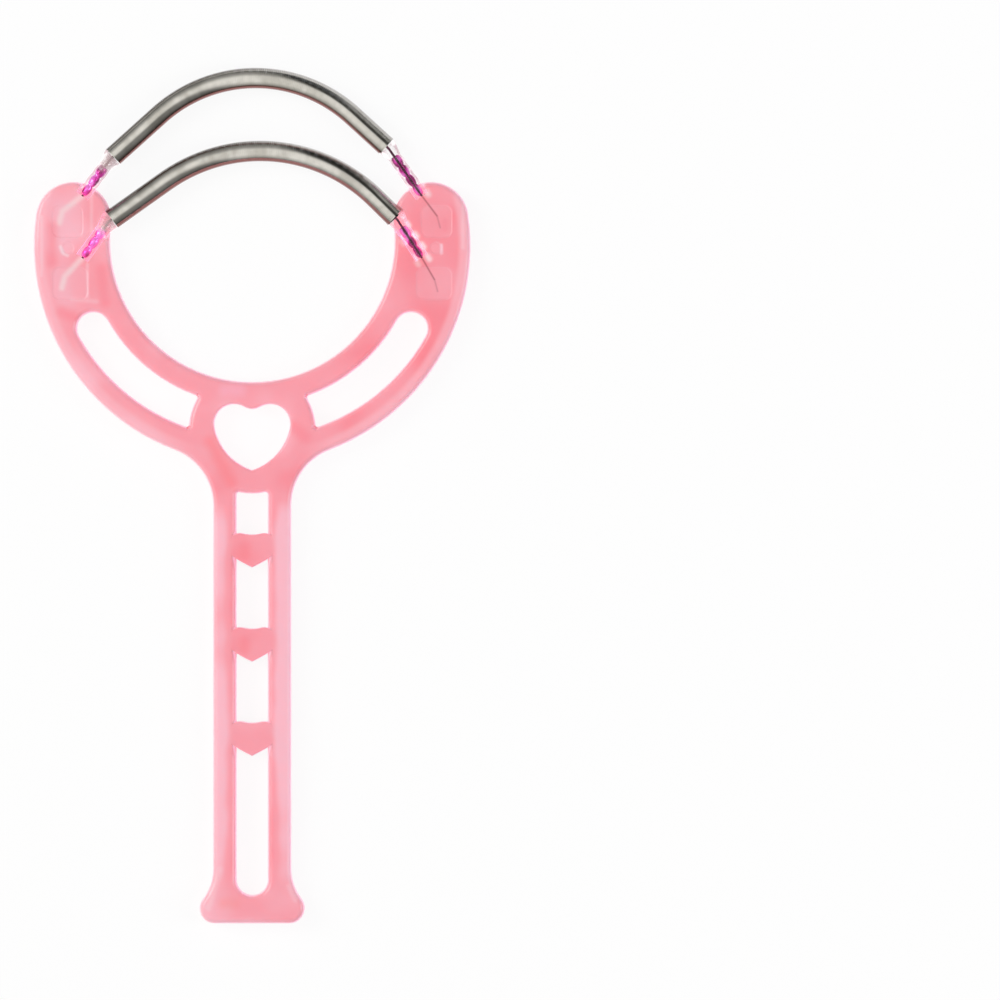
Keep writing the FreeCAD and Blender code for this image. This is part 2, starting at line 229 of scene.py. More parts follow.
def make_uneven_group():
    """Soft uneven value over a surface, between Low and High, with Scale patches to the metre."""
    group = bpy.data.node_groups.new("uneven surface", "ShaderNodeTree")
    for name, value in (("Scale", 200.0), ("Detail", 2.0), ("Low", 0.0), ("High", 1.0)):
        socket = group.interface.new_socket(name, in_out="INPUT", socket_type="NodeSocketFloat")
        socket.default_value = value
    group.interface.new_socket("Value", in_out="OUTPUT", socket_type="NodeSocketFloat")
    nodes = group.nodes
    links = group.links
    given = nodes.new("NodeGroupInput")
    result = nodes.new("NodeGroupOutput")
    place = nodes.new("ShaderNodeTexCoord")
    noise = nodes.new("ShaderNodeTexNoise")
    spread = nodes.new("ShaderNodeMapRange")
    spread.inputs["From Min"].default_value = 0.3
    spread.inputs["From Max"].default_value = 0.7
    links.new(place.outputs["Object"], noise.inputs["Vector"])
    links.new(given.outputs["Scale"], noise.inputs["Scale"])
    links.new(given.outputs["Detail"], noise.inputs["Detail"])
    links.new(noise.outputs["Fac"], spread.inputs["Value"])
    links.new(given.outputs["Low"], spread.inputs["To Min"])
    links.new(given.outputs["High"], spread.inputs["To Max"])
    links.new(spread.outputs["Result"], result.inputs["Value"])
    return group


def vector_math(nodes, links, kind, first, second):
    """Vector step on a socket and either a second socket or a plain vector."""
    node = nodes.new("ShaderNodeVectorMath")
    node.operation = kind
    links.new(first, node.inputs[0])
    if isinstance(second, bpy.types.NodeSocket):
        links.new(second, node.inputs[1])
    else:
        node.inputs[1].default_value = second
    return node.outputs


def make_line_group():
    """Strength along a straight line on the flat, fading to zero at Half Width from it.

    Line runs from Start to the other end, and Along is Line over its own length squared.
    """
    group = bpy.data.node_groups.new("buried line", "ShaderNodeTree")
    for name in ("Spot", "Start", "Line", "Along"):
        group.interface.new_socket(name, in_out="INPUT", socket_type="NodeSocketVector")
    for name in ("Half Width", "Strength"):
        group.interface.new_socket(name, in_out="INPUT", socket_type="NodeSocketFloat")
    group.interface.new_socket("Value", in_out="OUTPUT", socket_type="NodeSocketFloat")
    nodes = group.nodes
    links = group.links
    given = nodes.new("NodeGroupInput").outputs
    result = nodes.new("NodeGroupOutput")
    away = vector_math(nodes, links, "SUBTRACT", given["Spot"], given["Start"])["Vector"]
    covered = vector_math(nodes, links, "DOT_PRODUCT", away, given["Along"])["Value"]
    share = nodes.new("ShaderNodeClamp")
    links.new(covered, share.inputs["Value"])
    reach = nodes.new("ShaderNodeVectorMath")
    reach.operation = "SCALE"
    links.new(given["Line"], reach.inputs[0])
    links.new(share.outputs["Result"], reach.inputs["Scale"])
    gap = vector_math(nodes, links, "DISTANCE", away, reach.outputs["Vector"])["Value"]
    fall = nodes.new("ShaderNodeMapRange")
    fall.interpolation_type = "SMOOTHSTEP"
    fall.inputs["From Max"].default_value = 0.0
    links.new(gap, fall.inputs["Value"])
    links.new(given["Half Width"], fall.inputs["From Min"])
    links.new(given["Strength"], fall.inputs["To Max"])
    links.new(fall.outputs["Result"], result.inputs["Value"])
    return group


uneven_group = make_uneven_group()
line_group = make_line_group()


def add_uneven(nodes, scale, low, high, detail=2.0):
    node = nodes.new("ShaderNodeGroup")
    node.node_tree = uneven_group
    node.inputs["Scale"].default_value = scale
    node.inputs["Detail"].default_value = detail
    node.inputs["Low"].default_value = low
    node.inputs["High"].default_value = high
    return node.outputs["Value"]


def add_line(nodes, links, flat_place, start, end, half_width, strength=1.0):
    """Mask of a line between two points given in millimetres, seen from above."""
    start = start.to_2d().to_3d() * MM
    line = end.to_2d().to_3d() * MM - start
    node = nodes.new("ShaderNodeGroup")
    node.node_tree = line_group
    node.inputs["Start"].default_value = start
    node.inputs["Line"].default_value = line
    node.inputs["Along"].default_value = line / line.length_squared
    node.inputs["Half Width"].default_value = half_width * MM
    node.inputs["Strength"].default_value = strength
    links.new(flat_place, node.inputs["Spot"])
    return node.outputs["Value"]


def object_place(nodes):
    """Place of a point of the piece, in metres."""
    return nodes.new("ShaderNodeTexCoord").outputs["Object"]


def flatten(nodes, links, place):
    """The place with its height left out."""
    return vector_math(nodes, links, "MULTIPLY", place, (1.0, 1.0, 0.0))["Vector"]


def split(nodes, links, vector):
    """X, Y and Z sockets of a vector."""
    node = nodes.new("ShaderNodeSeparateXYZ")
    links.new(vector, node.inputs["Vector"])
    return node.outputs


def surface_normal(nodes):
    return nodes.new("ShaderNodeNewGeometry").outputs["Normal"]


def fade(nodes, links, value, start, end, low=0.0, high=1.0):
    """Smooth change from low to high while the value goes from start to end."""
    node = nodes.new("ShaderNodeMapRange")
    node.interpolation_type = "SMOOTHSTEP"
    node.inputs["From Min"].default_value = start
    node.inputs["From Max"].default_value = end
    node.inputs["To Min"].default_value = low
    node.inputs["To Max"].default_value = high
    links.new(value, node.inputs["Value"])
    return node.outputs["Result"]


def combine(nodes, links, kind, first, second):
    """Math step on two values, the second of which may be a plain number."""
    node = nodes.new("ShaderNodeMath")
    node.operation = kind
    links.new(first, node.inputs[0])
    if isinstance(second, float):
        node.inputs[1].default_value = second
    else:
        links.new(second, node.inputs[1])
    return node.outputs["Value"]


def times(nodes, links, first, second):
    return combine(nodes, links, "MULTIPLY", first, second)


def strongest(nodes, links, masks):
    """Largest of some masks at each point."""
    largest = masks[0]
    for mask in masks[1:]:
        largest = combine(nodes, links, "MAXIMUM", largest, mask)
    return largest


def tint(nodes, links, mask, under, colour):
    """Lays a screen colour or a colour socket over another where the mask is strong."""
    node = nodes.new("ShaderNodeMix")
    node.data_type = "RGBA"
    links.new(mask, node.inputs["Factor"])
    links.new(under, node.inputs["A"])
    if isinstance(colour, tuple):
        node.inputs["B"].default_value = screen_colour(*colour)
    else:
        links.new(colour, node.inputs["B"])
    return node.outputs["Result"]


# Materials


def in_head(point):
    """Point given from the head's centre, in the scene's millimetres."""
    return Vector((point[0], point[1] + head_y, 0))


def painted_glint_mask(nodes, links, flat_place):
    """Mask of the painted glints, each a short line along the wire."""
    masks = []
    for place, radius, strength in painted_glints:
        start = in_head(place)
        end = start + painted_glint_stretch
        masks.append(add_line(nodes, links, flat_place, start, end, radius, strength))
    return strongest(nodes, links, masks)


def plastic_body(nodes, links, place):
    """Cloudy pink, paler in the foot, with painted light that makes it paler to the left and along the
    outer sides of the rails.
    """
    cloud = add_uneven(nodes, 75.0, 0.0, 0.6, 1.5)
    # Painted light: paler to the left, and paler along the outer sides of the rails
    across = fade(nodes, links, place["X"], -46 * MM, 46 * MM, 0.34, 0.02)
    from_middle = combine(nodes, links, "ABSOLUTE", place["X"], 0.0)
    on_rail = fade(nodes, links, from_middle, 3.4 * MM, 6.4 * MM, -0.15, 0.5)
    below_neck = fade(nodes, links, place["Y"], 2 * MM, -6 * MM)
    above_foot = fade(nodes, links, place["Y"], -80 * MM, -70 * MM)
    rail = times(nodes, links, on_rail, times(nodes, links, below_neck, above_foot))
    at_foot = fade(nodes, links, place["Y"], -72 * MM, -80 * MM, 0.0, 0.22)
    paleness_with_painted_light = cloud
    for share in (across, rail, at_foot):
        paleness_with_painted_light = combine(nodes, links, "ADD", paleness_with_painted_light, share)
    stops = [(0.0, (251, 138, 150)), (0.5, (252, 160, 172)), (1.0, (254, 188, 201))]
    return ramp(nodes, links, paleness_with_painted_light, stops)


def painted_rim_light(nodes, links, place, flat_place):
    """Mask of the painted light in the ring's outer band, left out beside the neck."""
    centre = in_head((0, -rim_drop)) * MM
    from_centre = vector_math(nodes, links, "DISTANCE", flat_place, centre)["Value"]
    outer_band = fade(nodes, links, from_centre, 40.8 * MM, 42.1 * MM, 0.0, 0.55)
    from_middle = combine(nodes, links, "ABSOLUTE", place["X"], 0.0)
    return times(nodes, links, outer_band, fade(nodes, links, from_middle, 8 * MM, 20 * MM))


def recess_floors(nodes, links, place, facing):
    """Mask of the level floors of the shallow recesses."""
    above = fade(nodes, links, place["Z"], 4.6 * MM, 4.7 * MM)
    below = fade(nodes, links, place["Z"], 4.98 * MM, 4.9 * MM, 0.0, 0.2)
    level = fade(nodes, links, facing["Z"], 0.8, 0.9)
    return times(nodes, links, times(nodes, links, above, below), level)


def tail_line_mark(nodes, links, flat_place, bow, side):
    """Mask of the line over a core wire's tail in the arm, with its hook, and its colour: a painted
    highlight on the left, the dark wire on the right.
    """
    half_width, strength, hook_strength, shade = tail_looks[side]
    hook_end, bend, mouth = wire_corners(bow, side)[:3]
    tail = add_line(nodes, links, flat_place, mouth, bend, half_width, strength)
    hook = add_line(nodes, links, flat_place, bend, hook_end, half_width, hook_strength)
    return strongest(nodes, links, [tail, hook]), shade


def plastic_glow(nodes, links, place, flat_place, slant):
    """Light that the walls and the grooves' floors pass on."""
    wall = fade(nodes, links, slant, 0.9, 0.3)
    glow = ramp(nodes, links, wall, [(0.0, (0, 0, 0)), (1.0, (186, 117, 127))])
    below_face = fade(nodes, links, place["Z"], 4.75 * MM, 4.5 * MM)
    roots = []
    for bow in bows.values():
        for side in sides:
            mouth, kink = wire_corners(bow, side)[2:4]
            roots.append(add_line(nodes, links, flat_place, mouth, kink, 3.2))
    beside_root = fade(nodes, links, strongest(nodes, links, roots), 0.2, 0.5)
    return tint(nodes, links, times(nodes, links, below_face, beside_root), glow, (253, 172, 188))


def make_pink_plastic():
    """Moulded translucent pink, cloudy inside, paler where it is thin, with painted light that makes it
    paler where it turns to the side.
    """
    material, nodes, links, shader = new_material("translucent pink plastic")
    whole_place = object_place(nodes)
    place = split(nodes, links, whole_place)
    flat_place = flatten(nodes, links, whole_place)
    facing = split(nodes, links, surface_normal(nodes))

    colour = plastic_body(nodes, links, place)
    # Painted light: the ring's rounded outer band paler
    colour = tint(nodes, links, painted_rim_light(nodes, links, place, flat_place), colour, (255, 192, 203))
    colour = tint(nodes, links, recess_floors(nodes, links, place, facing), colour, (255, 196, 208))
    # Lines over the wire tails: painted highlights on the left arm, the dark wire on the right
    for bow in bows.values():
        for side in sides:
            mask, shade = tail_line_mark(nodes, links, flat_place, bow, side)
            colour = tint(nodes, links, mask, colour, shade)
    # Darker patches of the plastic and painted highlights
    for start, end, half_width, strength, shade in tone_and_highlight_marks:
        mark = add_line(nodes, links, flat_place, in_head(start), in_head(end), half_width, strength)
        colour = tint(nodes, links, mark, colour, shade)
    # Painted glints in the plastic beside the right sleeves
    colour = tint(nodes, links, painted_glint_mask(nodes, links, flat_place), colour, painted_glint_colour)

    # Painted light: sides paler, warm where they face left and lilac where they face right
    slant = combine(nodes, links, "ABSOLUTE", facing["Z"], 0.0)
    rightward = fade(nodes, links, facing["X"], -1.0, 1.0)
    painted_side_tone = ramp(nodes, links, rightward, [(0.3, (254, 200, 210)), (0.7, (250, 202, 222))])
    colour = tint(nodes, links, fade(nodes, links, slant, 0.97, 0.45), colour, painted_side_tone)
    links.new(colour, shader.inputs["Base Color"])
    links.new(plastic_glow(nodes, links, place, flat_place, slant), shader.inputs["Emission Color"])
    shader.inputs["Emission Strength"].default_value = 0.6

    links.new(add_uneven(nodes, 300.0, 0.29, 0.32), shader.inputs["Roughness"])
    shader.inputs["IOR"].default_value = 1.49
    shader.inputs["Subsurface Weight"].default_value = 0.5
    shader.inputs["Subsurface Radius"].default_value = (1.0, 0.5, 0.5)
    shader.inputs["Subsurface Scale"].default_value = 2 * MM
    swells = nodes.new("ShaderNodeTexNoise")
    swells.inputs["Scale"].default_value = 90.0
    swells.inputs["Detail"].default_value = 0.0
    links.new(whole_place, swells.inputs["Vector"])
    wave = nodes.new("ShaderNodeBump")
    wave.inputs["Strength"].default_value = 0.12
    wave.inputs["Distance"].default_value = 0.2 * MM
    links.new(swells.outputs["Fac"], wave.inputs["Height"])
    links.new(wave.outputs["Normal"], shader.inputs["Normal"])
    return material


def make_steel(name, dark, light, smoothest, roughest, painted_side_share):
    """Drawn steel wire with an uneven polish, with painted shade, painted light and a painted pink
    reflection where it turns to the side.
    """
    material, nodes, links, shader = new_material(name)
    facing = split(nodes, links, surface_normal(nodes))
    tone = ramp(nodes, links, add_uneven(nodes, 260.0, 0.0, 1.0), [(0.0, dark), (1.0, light)])
    # Painted shade and light: sides facing left darker, sides facing right paler, and a painted pink
    # reflection on sides facing -Y
    rightward = fade(nodes, links, facing["X"], -1.0, 1.0)
    painted_side_tone = ramp(nodes, links, rightward, [(0.3, (98, 92, 86)), (0.7, (176, 172, 168))])
    painted_side_tone = tint(nodes, links, fade(nodes, links, facing["Y"], 0.2, -0.2), painted_side_tone, (146, 98, 94))
    edge = fade(nodes, links, facing["Z"], 0.8, 0.6, 0.0, painted_side_share)
    links.new(tint(nodes, links, edge, tone, painted_side_tone), shader.inputs["Base Color"])
    links.new(add_uneven(nodes, 700.0, smoothest, roughest), shader.inputs["Roughness"])
    shader.inputs["Metallic"].default_value = 1.0
    return material


def make_magenta_metal():
    """Bright magenta metal with darker and paler flecks from bead to bead, a painted sheen where it turns
    to the side and painted shade along the right seams.
    """
    material, nodes, links, shader = new_material("magenta metal")
    flat_place = flatten(nodes, links, object_place(nodes))
    facing = split(nodes, links, surface_normal(nodes))
    flecks = add_uneven(nodes, 520.0, 0.0, 1.0, 0.0)
    stops = [(0.2, (150, 0, 106)), (0.5, (232, 40, 180)), (0.85, (248, 130, 228))]
    colour = ramp(nodes, links, flecks, stops)
    # Painted sheen: paler where the beads turn to the side
    edge = fade(nodes, links, facing["Z"], 0.6, 0.2, 0.0, 0.7)
    colour = tint(nodes, links, edge, colour, (250, 176, 230))
    for bow in bows.values():
        # Painted shade in the right seams
        mouth, kink = wire_corners(bow, "right")[2:4]
        painted_seam_shade = add_line(nodes, links, flat_place, mouth, kink, 0.75, 0.85)
        colour = tint(nodes, links, painted_seam_shade, colour, (136, 8, 100))
    links.new(colour, shader.inputs["Base Color"])
    links.new(add_uneven(nodes, 1500.0, 0.14, 0.26), shader.inputs["Roughness"])
    shader.inputs["Metallic"].default_value = 0.35
    return material


def left_necks(nodes, links, flat_place):
    """Mask of the cloudy tapered necks of the left sleeves."""
    necks = []
    for bow in bows.values():
        mouth, kink, coil_end = wire_corners(bow, "left")[2:5]
        neck_start = kink - (kink - mouth).normalized() * sleeve_neck_len * 0.7
        necks.append(add_line(nodes, links, flat_place, neck_start, coil_end, 2.4))
    return strongest(nodes, links, necks)


def make_clear_sleeve():
    """Clear tube, faintly pink, seen mostly by its edges and painted glints, with a painted glow for the
    light it gathers.
    """
    material, nodes, links, shader = new_material("clear sleeve")
    whole_place = object_place(nodes)
    place = split(nodes, links, whole_place)
    flat_place = flatten(nodes, links, whole_place)
    patch = add_uneven(nodes, 420.0, 0.0, 1.0)
    glint = fade(nodes, links, patch, 0.6, 0.76)
    neck = left_necks(nodes, links, flat_place)
    cloudy = times(nodes, links, neck, 0.8)
    painted_glint_spots = painted_glint_mask(nodes, links, flat_place)

    colour = ramp(nodes, links, patch, [(0.0, (222, 168, 184)), (1.0, (244, 206, 216))])
    # Painted glints: white patches
    colour = tint(nodes, links, glint, colour, (255, 252, 252))
    colour = tint(nodes, links, cloudy, colour, (200, 184, 180))
    # Painted glints beside the right sleeves, pale on the sleeve
    colour = tint(nodes, links, painted_glint_spots, colour, painted_glint_colour)
    links.new(colour, shader.inputs["Base Color"])

    # Painted glow, brighter at the glints and pink in the arms
    glow = ramp(nodes, links, glint, [(0.0, (118, 84, 94)), (1.0, (240, 236, 238))])
    arm_top = (head_y + 12) * MM
    in_arm = fade(nodes, links, place["Y"], arm_top, arm_top - 2 * MM, 0.0, 0.8)
    glow = tint(nodes, links, in_arm, glow, (232, 150, 166))
    glow = tint(nodes, links, cloudy, glow, (92, 84, 82))
    # Painted glow at the painted glints
    glow = tint(nodes, links, painted_glint_spots, glow, (236, 226, 230))
    links.new(glow, shader.inputs["Emission Color"])
    shader.inputs["Emission Strength"].default_value = 0.6
    shader.inputs["Roughness"].default_value = 0.06
    shader.inputs["IOR"].default_value = 1.6

    edge = nodes.new("ShaderNodeLayerWeight")
    edge.inputs["Blend"].default_value = 0.35
    cover = fade(nodes, links, edge.outputs["Facing"], 0.1, 0.8, 0.03, 0.6)
    veil = times(nodes, links, strongest(nodes, links, [neck, painted_glint_spots]), 0.42)
    off_middle = fade(nodes, links, edge.outputs["Facing"], 0.15, 0.45, 0.0, 0.6)
    shine = times(nodes, links, glint, off_middle)
    links.new(strongest(nodes, links, [cover, veil, shine]), shader.inputs["Alpha"])
    return material


# Bows of the springs, in millimetres


def heading(degrees):
    a = math.radians(degrees)
    return Vector((math.cos(a), math.sin(a), 0))


def wire_corners(bow, side):
    """Hook's end, bend, mouth, kink and coil's start of a core wire. Side picks the arm."""
    anchor = bow[side]
    mouth = Vector((-mouth_half, head_y + bow["mouth_y"], spring_z))
    bend = mouth - heading(anchor["tail_deg"]) * tail_len
    kink = mouth + heading(anchor["root_deg"]) * anchor["root_len"]
    points = [bend - heading(hook_deg) * hook_len, bend, mouth, kink]
    points.append(kink + heading(anchor["leg_deg"]) * coil_start)
    if side == "right":
        points = [Vector((-p.x, p.y, p.z)) for p in points]
    return points


def crown_centre(bow):
    """Centre of the crown's arc, which touches both legs."""
    left_kink = wire_corners(bow, "left")[3]
    right_kink = wire_corners(bow, "right")[3]
    left_deg = bow["left"]["leg_deg"]
    right_deg = bow["right"]["leg_deg"]
    up = heading(left_deg)
    down = heading(-right_deg)
    left_offset = left_kink + heading(left_deg - 90) * bow["crown_r"]
    right_offset = right_kink + heading(-right_deg - 90) * bow["crown_r"]
    gap = right_offset - left_offset
    left_leg = (gap.x * down.y - gap.y * down.x) / (up.x * down.y - up.y * down.x)
    return left_offset + up * left_leg


def coil_runs(bow):
    """The coil's start, the crown's centre and end, and the lengths of the runs between them."""
    centre = crown_centre(bow)
    left_deg = bow["left"]["leg_deg"]
    right_deg = bow["right"]["leg_deg"]
    crown_start = centre + heading(left_deg + 90) * bow["crown_r"]
    crown_end = centre + heading(90 - right_deg) * bow["crown_r"]
    start = wire_corners(bow, "left")[4]
    end = wire_corners(bow, "right")[4]
    first_leg = (crown_start - start).length
    crown = math.radians(left_deg + right_deg) * bow["crown_r"]
    last_leg = (end - crown_end).length
    return {
        "start": start,
        "centre": centre,
        "crown_end": crown_end,
        "first_leg": first_leg,
        "crown": crown,
        "length": first_leg + crown + last_leg,
    }


def point_on_coil(bow, runs, distance):
    """Middle of the coil at that distance from its start, with the outward direction there."""
    left_deg = bow["left"]["leg_deg"]
    right_deg = bow["right"]["leg_deg"]
    on_crown = distance - runs["first_leg"]
    if on_crown < 0:
        return runs["start"] + heading(left_deg) * distance, heading(left_deg + 90)
    if on_crown < runs["crown"]:
        outward = heading(left_deg + 90 - math.degrees(on_crown / bow["crown_r"]))
        return runs["centre"] + outward * bow["crown_r"], outward
    return runs["crown_end"] + heading(-right_deg) * (on_crown - runs["crown"]), heading(90 - right_deg)


# Pieces


def rod_mesh(name, points, diameter, facets):
    """Mesh of a round rod along a chain of points given in millimetres."""
    curve = bpy.data.curves.new(name, "CURVE")
    curve.dimensions = "3D"
    curve.bevel_depth = diameter / 2 * MM
    curve.bevel_resolution = (facets - 4) // 2
    curve.use_fill_caps = True
    spline = curve.splines.new("POLY")
    spline.points.add(len(points) - 1)
    for spot, point in zip(spline.points, points):
        spot.co = (*(point * MM), 1.0)
    carrier = bpy.data.objects.new(name + "_route", curve)
    bpy.context.scene.collection.objects.link(carrier)
    bpy.context.view_layer.update()
    mesh = bpy.data.meshes.new_from_object(carrier)
    bpy.data.objects.remove(carrier)
    bpy.data.curves.remove(curve)
    return mesh


def add_piece(name, mesh, material, node):
    """Scene piece that stands for a CAD node."""
    mesh.materials.clear()
    mesh.materials.append(material)
    piece = bpy.data.objects.new(name, mesh)
    bpy.context.scene.collection.objects.link(piece)
    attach(piece, "root")
    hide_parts(node)
    return piece


def smooth_faces(mesh):
    mesh.polygons.foreach_set("use_smooth", [True] * len(mesh.polygons))


def make_coil(level):
    """Close-wound coil along a bow."""
    bow = bows[level]
    runs = coil_runs(bow)
    inset = turn_wire_d / 2
    length = runs["length"] - 2 * inset
    radius = (coil_od - turn_wire_d) / 2
    count = round(length / turn_pitch * points_per_turn)
    points = []
    for i in range(count + 1):
        middle, outward = point_on_coil(bow, runs, inset + length * i / count)
        turn = 2 * math.pi * i / points_per_turn
        upward = Vector((0, 0, radius * math.sin(turn)))
        points.append(middle + outward * (radius * math.cos(turn)) + upward)
    mesh = rod_mesh(level + "_coil", points, turn_wire_d, wire_sides)
    smooth_faces(mesh)
    soften_turns(mesh, bow, runs)
    add_piece(level + "_coil", mesh, spring_steel, level + "_spring")


def nearest_on_bow(bow, runs, point):
    """Point of the bow's middle line nearest to a point beside it."""
    from_centre = point - runs["centre"]
    angle = math.degrees(math.atan2(from_centre.y, from_centre.x))
    if angle > 90 + bow["left"]["leg_deg"] or angle < -90:
        base = runs["start"]
        along = heading(bow["left"]["leg_deg"])
    elif angle < 90 - bow["right"]["leg_deg"]:
        base = runs["crown_end"]
        along = heading(-bow["right"]["leg_deg"])
    else:
        return runs["centre"] + heading(angle) * bow["crown_r"]
    return base + along * (point - base).dot(along)


def soften_turns(mesh, bow, runs):
    """Leans the shading of the turns towards that of a smooth tube, as fine wire looks from a distance."""
    leans = []
    for vertex in mesh.vertices:
        point = vertex.co / MM
        outward = (point - nearest_on_bow(bow, runs, point)).normalized()
        leans.append((vertex.normal * (1 - turn_blend) + outward * turn_blend).normalized())
    mesh.normals_split_custom_set_from_vertices(leans)


def make_core_wire(level):
    """Round core wire from its left hooked tail to its right one."""
    bow = bows[level]
    runs = coil_runs(bow)
    left = wire_corners(bow, "left")[:4]
    right = wire_corners(bow, "right")[:4]
    distances = [runs["length"] * i / core_steps for i in range(core_steps + 1)]
    middle = [point_on_coil(bow, runs, distance)[0] for distance in distances]
    mesh = rod_mesh(level + "_core", left + middle + right[::-1], core_wire_d, core_sides)
    smooth_faces(mesh)
    add_piece(level + "_core", mesh, core_steel, level + "_core_wire")


def mark_chamfers(body):
    """Notes on the slanting faces how far they cut back: positive in front, negative at the back."""
    cut = body.faces.layers.float.new("cut back")
    disc = Vector((0, disc_y, 0))
    for face in body.faces:
        if not 0.6 < abs(face.normal.z) < 0.8:
            continue
        heights = [v.co.z / MM for v in face.verts]
        middle = face.calc_center_median() / MM
        middle.z = 0
        if face.normal.z < 0:
            face[cut] = -back_chamfer
        elif (middle - disc).length < heart_reach:
            face[cut] = window_chamfer
        elif min(heights) > plate_t - 1.2 * bar_chamfer and abs(middle.x) < bar_half:
            face[cut] = bar_chamfer
        elif max(heights) > plate_t - 0.01 or min(heights) < plate_t - edge_chamfer + 0.01:
            face[cut] = edge_chamfer
    return cut


def cuts_beside_bars(body, cut):
    """Places along Y just beside each bar, where its small chamfers are cut off from the large ones."""
    margin = 0.4
    shortest_window = 2.0
    bar_faces = [face for face in body.faces if abs(face[cut] - bar_chamfer) < 0.01]
    ends = sorted(vertex.co.y / MM for face in bar_faces for vertex in face.verts)
    places = [ends[0] - margin, ends[-1] + margin]
    for lower, upper in zip(ends, ends[1:]):
        if upper - lower > shortest_window:
            places += [lower + margin, upper - margin]
    return places


def slice_body(body, point, direction):
    """Cuts every face that crosses a plane, given in millimetres."""
    geom = body.verts[:] + body.edges[:] + body.faces[:]
    bmesh.ops.bisect_plane(body, geom=geom, dist=1e-9, plane_co=point * MM, plane_no=direction)


def roll_chamfers(body):
    """Slices the chamfers level and pushes the slices out, so that each becomes a quarter round."""
    cut = mark_chamfers(body)
    for y in cuts_beside_bars(body, cut):
        slice_body(body, Vector((0, y, 0)), Vector((0, 1, 0)))
    fronts = [plate_t - edge_chamfer * i / roll_steps for i in range(1, roll_steps)]
    backs = [back_chamfer * i / back_steps for i in range(1, back_steps)]
    for height in fronts + backs:
        slice_body(body, Vector((0, 0, height)), Vector((0, 0, 1)))
    moves = []
    for vertex in body.verts:
        slanted = [face for face in vertex.link_faces if abs(face[cut]) > 0]
        if not slanted:
            continue
        size = max((face[cut] for face in slanted), key=abs)
        flat = plate_t if size > 0 else 0.0
        share = 1 - abs(flat - vertex.co.z / MM) / abs(size)
        if 0.01 < share < 0.99:
            outward = sum((face.normal for face in slanted), Vector())
            outward.z = 0
            turn = share * math.pi / 2
            push = abs(size) * (share - 1 + math.cos(turn))
            height = flat - size * (1 - math.sin(turn))
            moves.append((vertex, outward.normalized() * push * MM, height * MM))
    for vertex, push, height in moves:
        vertex.co += push
        vertex.co.z = height


def soften_floor(body, centre, half_width, half_height, share):
    """Draws the floor of a shallow recess in towards its middle, so that its walls lean."""
    floor = [
        v
        for v in body.verts
        if abs(v.co.z / MM - (plate_t - recess_depth)) < 0.01
        and abs(v.co.x / MM - centre.x) < half_width + 0.1
        and abs(v.co.y / MM - centre.y) < half_height + 0.1
    ]
    space = Matrix.Translation(-centre * MM)
    bmesh.ops.scale(body, verts=floor, vec=(share, share, 1.0), space=space)


def make_frame_body():
    """The moulding, with the flats of its broken edges rolled into rounds and its recesses softened."""
    body = bmesh.new()
    body.from_mesh(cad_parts["frame"].data)
    bmesh.ops.remove_doubles(body, verts=body.verts, dist=merge_gap * MM)
    bmesh.ops.dissolve_limit(body, angle_limit=math.radians(0.5), verts=body.verts, edges=body.edges)
    for outward in (-1, 1):
        for bow in bows.values():
            half_width = bow["recess"]["width"] / 2
            x = outward * (mouth_half + bow["recess"]["outset"])
            recess = in_head((x, bow["mouth_y"] - recess_drop))
            soften_floor(body, recess, half_width, recess_height / 2, recess_floor)
        mark = in_head((outward * (mouth_half + mark_outset), upper_mouth_y - mark_drop))
        soften_floor(body, mark, mark_r, mark_r, mark_floor)
    roll_chamfers(body)
    mesh = bpy.data.meshes.new("fork_and_handle")
    body.to_mesh(mesh)
    body.free()
    smooth_faces(mesh)
    piece = add_piece("fork_and_handle", mesh, pink_plastic, "frame")
    weights = piece.modifiers.new("even shading", "WEIGHTED_NORMAL")
    weights.keep_sharp = True


def lathe_mesh(name, outline, foot, head, sweep_deg, first_deg, wall):
    """Shell of some wall, turned from an outline of radius and height about the line from foot to head."""
    shell = bmesh.new()
    points = [shell.verts.new((radius * MM, 0, height * MM)) for radius, height in outline]
    lines = [shell.edges.new(pair) for pair in zip(points, points[1:])]
    bmesh.ops.spin(
        shell,
        geom=points + lines,
        cent=(0, 0, 0),
        axis=(0, 0, 1),
        angle=math.radians(sweep_deg),
        steps=round(sweep_deg / spin_step_deg),
        use_merge=sweep_deg == 360,
    )
    bmesh.ops.remove_doubles(shell, verts=shell.verts, dist=merge_gap / 2 * MM)
    bmesh.ops.recalc_face_normals(shell, faces=shell.faces)
    aside = Vector((1, 1, 0))
    if sum(face.normal.dot(face.calc_center_median() * aside) for face in shell.faces) < 0:
        bmesh.ops.reverse_faces(shell, faces=shell.faces)
    bmesh.ops.solidify(shell, geom=shell.faces[:], thickness=wall * MM)
    along = (head - foot).normalized()
    level = along.cross(Vector((0, 0, 1)))
    front = level.cross(along)
    stand = Matrix((level, front, along)).transposed().to_4x4()
    turn = Matrix.Rotation(math.radians(first_deg), 4, "Z")
    bmesh.ops.transform(shell, matrix=Matrix.Translation(foot * MM) @ stand @ turn, verts=shell.verts)
    bmesh.ops.recalc_face_normals(shell, faces=shell.faces)
    mesh = bpy.data.meshes.new(name)
    shell.to_mesh(mesh)
    shell.free()
    smooth_faces(mesh)
    return mesh


